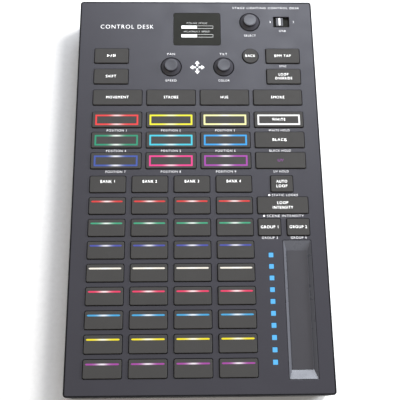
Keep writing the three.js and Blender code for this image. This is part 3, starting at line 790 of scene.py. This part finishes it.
KEY_WORDS = {
    "shift": (("SHIFT", 0, 8.4),), "tap": (("BPM TAP", 0, 13.4),),
    "override": (("LOOP", 1.75, 7.8), ("OVERRIDE", -1.75, 13.8)),
    "movement": (("MOVEMENT", 0, 18),), "strobe": (("STROBE", 0, 11.6),),
    "hue": (("HUE", 0, 6),), "smoke": (("SMOKE", 0, 10.8),),
    "white": (("WHITE", 0, 10.6),), "black": (("BLACK", 0, 11.2),),
    "uv": (("UV", 0, 4.4),), "back": (("BACK", 0, 7.9),),
    "loop": (("AUTO", 1.9, 8.4), ("LOOP", -1.9, 8.4)),
    "intensity": (("LOOP", 1.9, 8.4), ("INTENSITY", -1.9, 15.6)),
    "group_1": (("GROUP 1", 0, 13.2),), "group_2": (("GROUP 2", 0, 13.2),),
}
for k in range(1, 5):
    KEY_WORDS[f"bank_{k}"] = ((f"BANK {k}", 2.2, 11),)

CAPITALS = 2.2
for name, lines in KEY_WORDS.items():
    node = name + "_button"
    x, y = middle(node)
    shell = Shell()
    for words, rise, width in lines:
        lettering(shell, words, x, y + rise, KEY_TOP, CAPITALS, width, LEGEND_BOLD)
    material = UV_PRINT if name == "uv" else KEY_PRINT
    piece(name + "_legend", shell, material, node)


def play_legend():
    """A triangle, a stroke and two bars."""
    x, y = middle("play_button")
    shell = Shell()
    triangle = [(-3.5, -1), (-1.6, 0), (-3.5, 1)]
    stroke = [(-0.8, -1), (-0.45, -1), (0.4, 1), (0.05, 1)]
    bars = [[(1.3, -1), (1.8, -1), (1.8, 1), (1.3, 1)], [(2.6, -1), (3.1, -1), (3.1, 1), (2.6, 1)]]
    for corners in (triangle, stroke, *bars):
        printed(shell, [(x + px, y + py) for px, py in corners], KEY_TOP)
    piece("play_legend", shell, KEY_PRINT, "play_button")


play_legend()

panel_print_painted_glow = Shell()
LABEL = 1.75
DOT_RADIUS = 0.75


def label(words, x, y, width):
    lettering(panel_print_painted_glow, words, x, y, PANEL_TOP, LABEL, width, LEGEND_BOLD)


def below(node, words, width, drop=9.05, aside=0.0):
    """Prints words on the panel in front of a key."""
    x, y = middle(node)
    label(words, x + aside, y - drop, width)


for k in range(1, 10):
    below(f"position_{k}_button", f"POSITION {k}", 15.6)
below("white_button", "WHITE HOLD", 16.6)
below("black_button", "BLACK HOLD", 16.8)
below("uv_button", "UV HOLD", 11.8)
below("tap_button", "SYNC", 5.6, 9.1)
below("group_1_button", "GROUP 3", 12, 8.3)
below("group_2_button", "GROUP 4", 12, 8.3)
for node, words, width, drop, aside in (("loop_button", "STATIC LOOKS", 20, 9.1, 2.1),
                                        ("intensity_button", "SCENE INTENSITY", 28.4, 8.4, 1.7)):
    below(node, words, width, drop, aside)
    x, y = middle(node)
    panel_print_painted_glow.loft(disc(x + aside - width / 2 - 2.2, y - drop, DOT_RADIUS, 16),
                     [(0, PANEL_TOP), (0, PANEL_TOP + INK)])
for node, above, under in (("pan_knob", "PAN", "SPEED"), ("tilt_knob", "TILT", "COLOR")):
    x, y = middle(node)
    label(above, x, y + 11.8, 6.2)
    label(under, x, y - 12.4, 9)
select_x, select_y = middle("select_knob")
label("SELECT", select_x, select_y - 12.7, 9.6)
label("1", SWITCH_X - 9.3, SWITCH_Y, 0.45)
label("2", SWITCH_X + 10.3, SWITCH_Y, 1.1)
label("USB", SWITCH_X + 0.7, SWITCH_Y - 8.5, 5.4)
label("STAGE LIGHTING CONTROL DESK", WIDTH / 2 - 38.6, LENGTH / 2 - 5.8, 56.5)
lettering(panel_print_painted_glow, "CONTROL DESK", 39.5 - WIDTH / 2, LENGTH / 2 - 24, PANEL_TOP, 3.6, 44, -0.012)


def pan_tilt_mark(x, y):
    """A plain cross of four arrows between the pan and the tilt knob."""
    arrow = [(1.1, -0.65), (3.4, -0.65), (3.4, -2), (6, 0), (3.4, 2), (3.4, 0.65), (1.1, 0.65)]
    for _ in range(4):
        printed(panel_print_painted_glow, [(x + px, y + py) for px, py in arrow], PANEL_TOP)
        arrow = [(-py, px) for px, py in arrow]


pan_tilt_mark(middle("display_window")[0], middle("pan_knob")[1] - 0.4)
piece("panel_print_painted_glow", panel_print_painted_glow, PANEL_PRINT_PAINTED_GLOW)


# ---- Knobs --------------------------------------------------------------------------------------

KNOB_SHAFT = 3
KNOB_CAP = 5.4
KNOB_WALL = 1.4
CEILING_RADIUS = 4.3
SHAFT_SQUARE = 4.1
ROTOR_RADIUS = 4.9


def knob(node):
    """A hollow cap on its own shaft, which has a square foot. The rotor is one piece with the shaft,
    except under the select knob, whose shaft slides through a rotor of its own."""
    x, y = middle(node)
    low, high = box_mm(node)
    skirt = (high.x - low.x) / 2
    skirt_bottom = PANEL_TOP - 0.6
    skirt_top = PANEL_TOP + 0.4
    cap_foot = PANEL_TOP + 1.7
    ceiling = PANEL_TOP + 2.5
    top = high.z
    rotor_bottom = low.z + 0.9
    rotor_top = low.z + 3.9
    square_top = rotor_top + 0.9
    shaft = KNOB_SHAFT - skirt
    cap = KNOB_CAP - skirt
    shell = Shell()
    levels = [(shaft, square_top - 0.2), (shaft, ceiling), (CEILING_RADIUS - skirt, ceiling)]
    levels += [(-KNOB_WALL, skirt_bottom), (0, skirt_bottom), (0, skirt_top - 0.25)]
    levels += [(-0.08, skirt_top - 0.08), (-0.25, skirt_top + 0.05)]
    levels += [(cap + 0.75, cap_foot - 0.32), (cap + 0.3, cap_foot), (cap + 0.1, cap_foot + 0.35)]
    levels += [(cap + inset, z) for inset, z in round_over(0, top - 0.04, 0.35, 4)]
    levels += [(cap - 0.9, top), (cap - 2, top - 0.1), (cap - 4, top - 0.16)]
    shell.loft(disc(x, y, skirt, 96), levels)
    shell.loft(rectangle(x, y, SHAFT_SQUARE, SHAFT_SQUARE, 0.2, 2), [(0, low.z), (0, square_top)])
    if node != "select_knob":
        shell.loft(disc(x, y, ROTOR_RADIUS, 16), [(0, rotor_bottom), (0, rotor_top)])
    piece(node + "_body", shell, KNOB, node, [node], smooth=28)


for node in KNOBS:
    knob(node)


# ---- Display ------------------------------------------------------------------------------------

def display():
    low, high = box_mm("display_window")
    x, y = middle("display_window")
    shell = Shell()
    outline = rectangle(x, y, high.x - low.x, high.y - low.y, 1.9, 8)
    shell.loft(outline, [(0, low.z)] + round_over(0, high.z, 0.15, 2))
    piece("display_glass", shell, GLASS, replaces=["display_window"])

    graphics = Shell()
    top = high.z
    left, right = x - 12.9, x + 13.5
    half, line = 1.32, 0.18

    def solid_bar(x0, x1, y0, y1):
        graphics.loft(rectangle((x0 + x1) / 2, (y0 + y1) / 2, x1 - x0, y1 - y0, 0.15, 2),
                      [(0, top), (0, top + 0.03)])

    for words, words_y, bar_y, width in (("COLOR SPEED", 5.65, 1.85, 17.2),
                                         ("MOVEMENT SPEED", -2.4, -6.35, 21.6)):
        lettering(graphics, words, x, y + words_y, top - 0.02, 1.25, width, -0.03)
        solid_bar(left, x, y + bar_y - half, y + bar_y + half)
        solid_bar(x, right, y + bar_y + half - line, y + bar_y + half)
        solid_bar(x, right, y + bar_y - half, y + bar_y - half + line)
        solid_bar(right - line, right, y + bar_y - half, y + bar_y + half)
    piece("display_graphics", graphics, SCREEN)


display()


# ---- Touch strip and meter ----------------------------------------------------------------------

def touch_strip():
    x, y = middle("touch_strip_tray")
    wide = STRIP_WIDTH - 0.6
    long = STRIP_LENGTH - 0.6
    lip, side, end = 0.25, 2.3, 6.6
    floor = PANEL_TOP - 3
    shell = Shell()

    def outline(inset_x, inset_y, corner):
        return rectangle(x, y, wide - 2 * inset_x, long - 2 * inset_y, corner, 4)(0)

    flange = rectangle(x, y, STRIP_HIGH.x - STRIP_LOW.x, STRIP_HIGH.y - STRIP_LOW.y, 1, 4)
    rings = [
        shell.ring(outline(0, 0, 0.8), floor - 1.4),
        shell.ring(outline(0, 0, 0.8), FLANGE_BOTTOM),
        shell.ring(flange(0), FLANGE_BOTTOM),
        shell.ring(flange(0), FLANGE_TOP),
        shell.ring(outline(0, 0, 0.8), FLANGE_TOP),
        shell.ring(outline(0, 0, 0.8), PANEL_TOP - 0.2),
        shell.ring(outline(0.12, 0.12, 0.7), PANEL_TOP - 0.04),
        shell.ring(outline(lip, lip, 0.6), PANEL_TOP - 0.08),
        shell.ring(outline(lip + side - 0.15, lip + end - 0.3, 0.2), floor + 0.2),
        shell.ring(outline(lip + side, lip + end, 0.2), floor),
    ]
    shell.close(rings)
    piece("touch_tray", shell, STRIP, replaces=["touch_strip_tray"], smooth=25)

    low, high = box_mm("touch_strip_sensor")
    film = Shell()
    film.loft(rectangle(x, y, high.x - low.x, high.y - low.y, 0.6, 4),
              [(0, low.z)] + round_over(0, high.z, 0.12, 2))
    piece("touch_film", film, FILM, replaces=["touch_strip_sensor"])


touch_strip()


def meter():
    shell = Shell()
    low, high = box_mm("meter_light_guide")
    for y in METER_Y:
        def glow(px, py, centre=y):
            return 0.45 - 0.4 * (abs(px - METER_X) + abs(py - centre)) / METER_SIDE
        outline = rectangle(METER_X, y, METER_SIDE, METER_SIDE, 0.3, 3)
        shell.loft(outline, [(0, high.z - 2.2), (0, high.z - 0.15), (-0.12, high.z)], glow)
    shell.loft(rectangle(METER_X, (METER_Y[0] + METER_Y[-1]) / 2, 5, high.y - low.y, 0.4, 3),
               [(0, low.z), (0, FLANGE_TOP)])
    piece("meter_lights", shell, light_material("meter", (56, 172, 236), 1.1, 0.8),
          replaces=["meter_light_guide"])


meter()


# ---- Slide switch -------------------------------------------------------------------------------

def slide_switch():
    x, y = middle("usb_slider")
    bottom = box_mm("usb_slider")[0].z
    cover = FLANGE_TOP - 0.2
    sheet = Shell()
    sheet.loft(rectangle(x, y, SWITCH_WIDTH + SLIDER_TRAVEL + 0.8, SWITCH_DEPTH + 1.6, 0.4, 3),
               [(0, cover - 1), (0, cover)])
    sheet.loft(rectangle(x, y, 3, 4, 0.3, 2), [(0, bottom), (0, cover - 0.5)])
    piece("slider_cover", sheet, SLIDER_COVER, "usb_slider", ["usb_slider"])
    grip = Shell()
    grip.loft(rectangle(x, y, 6, SWITCH_DEPTH - 2, 0.5, 4),
              [(0, cover - 0.1)] + round_over(0, PANEL_TOP + 0.1, 0.3))
    for k in (-2, -1, 1, 2):
        grip.loft(rectangle(x + k * 1.15, y, 0.5, SWITCH_DEPTH - 3, 0.15, 2),
                  [(0, PANEL_TOP), (0, PANEL_TOP + 0.4)])
    piece("slider_grip", grip, SLIDER, "usb_slider")
    line = Shell()
    line.loft(rectangle(x, y, 1.3, SWITCH_DEPTH - 3, 0.3, 3),
              [(0, PANEL_TOP)] + round_over(0, PANEL_TOP + 0.65, 0.2))
    piece("slider_line", line, PANEL_PRINT_PAINTED_GLOW, "usb_slider")


slide_switch()


# ---- Rear sockets -------------------------------------------------------------------------------

def dmx_socket(node):
    low, high = box_mm(node)
    x = (low.x + high.x) / 2
    face = high.y
    shell = Shell()
    shell.add_mesh(*box_faces(low.x, high.x, low.y, low.y + 18, low.z, high.z))
    nose = [(DMX_NOSE, face - 4), (DMX_NOSE, face - 0.4), (DMX_NOSE - 0.4, face)]
    well = [(9.9, face), (9.6, face - 0.3), (9.6, face - 11), (2, face - 11)]
    lathe_y(shell, x, DMX_Z, nose + well, 64)
    piece(node + "_shell", shell, STEEL, replaces=[node])
    core = Shell()
    lathe_y(core, x, DMX_Z, [(7.9, face - 10.9), (7.9, face - 0.5), (7.5, face - 0.1), (0.5, face - 0.1)], 48)
    insert = piece(node + "_core", core, INSERT)
    holes = [turned_cylinder(x + dx, DMX_Z + dz, 1.35, face - 8, face + 1, 20)
             for dx, dz in ((-3.6, 1.4), (3.6, 1.4), (0, -3.6))]
    cut_away(insert, holes)


def usb_socket(node):
    low, high = box_mm(node)
    x, z = (low.x + high.x) / 2, (low.z + high.z) / 2
    face = high.y
    shell = Shell()
    shell.add_mesh(*box_faces(low.x, high.x, low.y, high.y, low.z, high.z))
    made = piece(node + "_shell", shell, STEEL, replaces=[node])
    cut_away(made, [block(x - 5.4, x + 5.4, face - 9, face + 1, z - 4.7, z + 4.7)])
    core = Shell()
    core.add_mesh(*box_faces(x - 5.3, x + 5.3, face - 15, face - 8.5, z - 4.6, z + 4.6))
    core.add_mesh(*box_faces(x - 2.8, x + 2.8, face - 9, face - 1, z - 1.6, z + 1.6))
    piece(node + "_core", core, NYLON)


def power_socket():
    face = REAR - 0.15
    sleeve = Shell()
    sleeve.add_mesh(*box_faces(POWER_X - 4.6, POWER_X + 4.6, REAR - 13, face, POWER_Z - 5.6, POWER_Z + 5.6))
    made = piece("power_sleeve", sleeve, INSERT)
    cut_away(made, [turned_cylinder(POWER_X, POWER_Z, 3.1, REAR - 12.9, REAR + 1, 32)])
    pin = Shell()
    lathe_y(pin, POWER_X, POWER_Z, [(1.05, REAR - 12), (1.05, REAR - 1.6), (0.7, REAR - 1.2)], 20)
    piece("power_pin", pin, STEEL)


for node in ("dmx_socket_1", "dmx_socket_2"):
    dmx_socket(node)
for node in ("usb_socket_1", "usb_socket_2"):
    usb_socket(node)
power_socket()


# ---- Inner pieces that stay as the CAD has them --------------------------------------------------

for node, material in (("circuit_board", BOARD), ("dome_sheet", SILICONE), ("display_module", STEEL),
                       ("select_encoder_body", STEEL), ("pan_encoder_body", STEEL),
                       ("tilt_encoder_body", STEEL), ("select_rotor", NYLON)):
    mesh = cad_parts[node].data
    mesh.materials.clear()
    mesh.materials.append(material)


# ---- Floor, light and camera --------------------------------------------------------------------

def floor():
    half = 3
    mesh = bpy.data.meshes.new("floor")
    corners = [(-half, -half, 0), (half, -half, 0), (half, half, 0), (-half, half, 0)]
    mesh.from_pydata(corners, [], [(0, 1, 2, 3)])
    mesh.materials.append(surface("studio_floor", (250, 250, 250), 0.8, mottle=0.01, mottle_mm=200,
                                  grain_mm=4, grain=0.05, specular=0.1))
    made = new_object("floor", mesh)


def area_light(name, place, aim, size, power, colour=(1, 1, 1), mirrored=True):
    """A soft disc light; one that isn't mirrored gives no glare on shiny faces."""
    data = bpy.data.lights.new(name, "AREA")
    data.shape = "DISK"
    data.size = size
    data.energy = power
    data.color = colour
    made = new_object(name, data)
    made.location = place
    made.rotation_mode = "QUATERNION"
    made.rotation_quaternion = (Vector(aim) - Vector(place)).to_track_quat("-Z", "Y")
    made.visible_glossy = mirrored


floor()
area_light("key_light", (0.7, 0.6, 1.15), (0, 0, 0.03), 0.45, 18, (1.0, 0.99, 0.97), mirrored=False)
area_light("rear_window", (0.22, 1.0, 1.05), (0, 0.05, 0.03), 0.8, 11.5, (0.86, 0.91, 1.0))
area_light("side_window", (1.3, 0.2, 0.55), (0, 0, 0.03), 0.5, 20, (0.93, 0.96, 1.0), mirrored=False)
area_light("warm_fill", (-1.1, -0.9, 0.7), (0, -0.05, 0.03), 0.6, 3, (1.0, 0.78, 0.55))
world = bpy.data.worlds.new("studio")
world.use_nodes = True
world.node_tree.nodes["Background"].inputs["Color"].default_value = (1, 1, 1, 1)
world.node_tree.nodes["Background"].inputs["Strength"].default_value = 0.36
scene = bpy.context.scene
scene.world = world
scene.view_settings.view_transform = "Standard"

CAMERA_PLACE = Vector((-11.65, -172.6, 542.7)) * MM
CAMERA_AHEAD = Vector((0.0244, 0.2969, -0.9546))
CAMERA_RIGHT = Vector((0.9997, -0.0108, 0.0222))
CAMERA_LENS = 61.83
camera_data = bpy.data.cameras.new("camera")
camera_data.lens = CAMERA_LENS
camera_data.sensor_width = 36
camera_data.clip_start = 0.01
camera = new_object("camera", camera_data)
camera.location = CAMERA_PLACE
camera.rotation_mode = "QUATERNION"
camera_up = CAMERA_RIGHT.cross(CAMERA_AHEAD)
camera_axes = Matrix((CAMERA_RIGHT, camera_up, -CAMERA_AHEAD)).transposed()
camera.rotation_quaternion = camera_axes.to_quaternion()
scene.camera = camera

bpy.context.view_layer.update()
